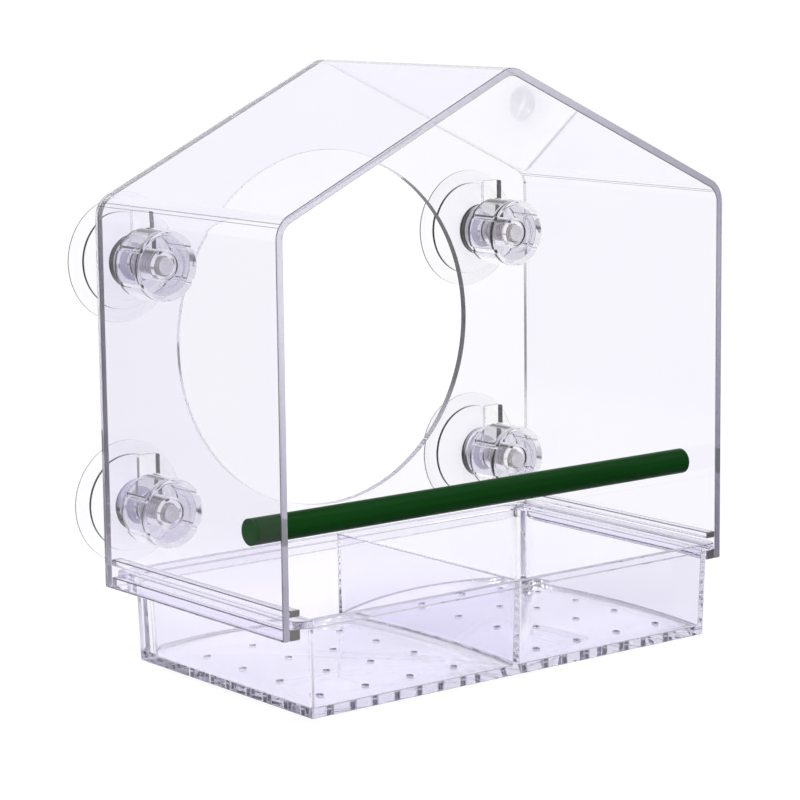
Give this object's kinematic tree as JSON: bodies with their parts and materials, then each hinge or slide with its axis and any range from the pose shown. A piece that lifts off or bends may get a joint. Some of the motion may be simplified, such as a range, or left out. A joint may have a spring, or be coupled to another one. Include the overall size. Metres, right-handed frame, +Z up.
{
  "type": "window bird feeder",
  "caption": "Clear gabled bird feeder that hangs on a window pane by suction cups, with a round view hole, a round perch and a divided seed tray that slides out.",
  "frame": {"origin": "on the window pane's plane, at the middle of the feeder's width, level with the underside of the seed tray", "axes": "+Z up, +Y towards the window pane, +X to the right as seen from the front, where the birds come from"},
  "size_m": [0.226, 0.1394, 0.2331],
  "materials": {
    "sheet_acrylic": "clear cast sheet, polished faces and flame-polished edges",
    "tray_plastic": "clear moulded plastic, glossy",
    "perch_acrylic": "dark green, glossy",
    "cup_vinyl": "clear soft vinyl, glossy",
    "hardware_plastic": "clear moulded plastic, glossy"
  },
  "bodies": {
    "house": {"shell": "sheet_acrylic", "back_panel": "sheet_acrylic", "left_upper_rail": "sheet_acrylic", "left_lower_rail": "sheet_acrylic", "right_upper_rail": "sheet_acrylic", "right_lower_rail": "sheet_acrylic", "perch": "perch_acrylic"},
    "tray": {"tray": "tray_plastic"},
    "cup_upper_left": {"suction_cup_upper_left": "cup_vinyl", "stud_upper_left": "hardware_plastic"},
    "knob_upper_left": {"knob_upper_left": "hardware_plastic"},
    "cup_upper_right": {"suction_cup_upper_right": "cup_vinyl", "stud_upper_right": "hardware_plastic"},
    "knob_upper_right": {"knob_upper_right": "hardware_plastic"},
    "cup_lower_left": {"suction_cup_lower_left": "cup_vinyl", "stud_lower_left": "hardware_plastic"},
    "knob_lower_left": {"knob_lower_left": "hardware_plastic"},
    "cup_lower_right": {"suction_cup_lower_right": "cup_vinyl", "stud_lower_right": "hardware_plastic"},
    "knob_lower_right": {"knob_lower_right": "hardware_plastic"}
  },
  "joints": [
    {"name": "tray_slide", "type": "slide", "parent": "house", "child": "tray", "axis": [0, -1, 0], "range_m": [0, 0.105]},
    {"name": "slot_slide_upper_left", "type": "slide", "parent": "house", "child": "cup_upper_left", "axis": [0, 0, 1], "range_m": [0, 0.016]},
    {"name": "knob_turn_upper_left", "type": "hinge", "parent": "cup_upper_left", "child": "knob_upper_left", "pos_m": [-0.088, -0.0274, 0.15715], "axis": [0, -1, 0], "range_deg": [0, 450]},
    {"name": "slot_slide_upper_right", "type": "slide", "parent": "house", "child": "cup_upper_right", "axis": [0, 0, 1], "range_m": [0, 0.016]},
    {"name": "knob_turn_upper_right", "type": "hinge", "parent": "cup_upper_right", "child": "knob_upper_right", "pos_m": [0.088, -0.0274, 0.15715], "axis": [0, -1, 0], "range_deg": [0, 450]},
    {"name": "slot_slide_lower_left", "type": "slide", "parent": "house", "child": "cup_lower_left", "axis": [0, 0, 1], "range_m": [0, 0.017]},
    {"name": "knob_turn_lower_left", "type": "hinge", "parent": "cup_lower_left", "child": "knob_lower_left", "pos_m": [-0.088, -0.0274, 0.05965], "axis": [0, -1, 0], "range_deg": [0, 450]},
    {"name": "slot_slide_lower_right", "type": "slide", "parent": "house", "child": "cup_lower_right", "axis": [0, 0, 1], "range_m": [0, 0.017]},
    {"name": "knob_turn_lower_right", "type": "hinge", "parent": "cup_lower_right", "child": "knob_lower_right", "pos_m": [0.088, -0.0274, 0.05965], "axis": [0, -1, 0], "range_deg": [0, 450]}
  ]
}
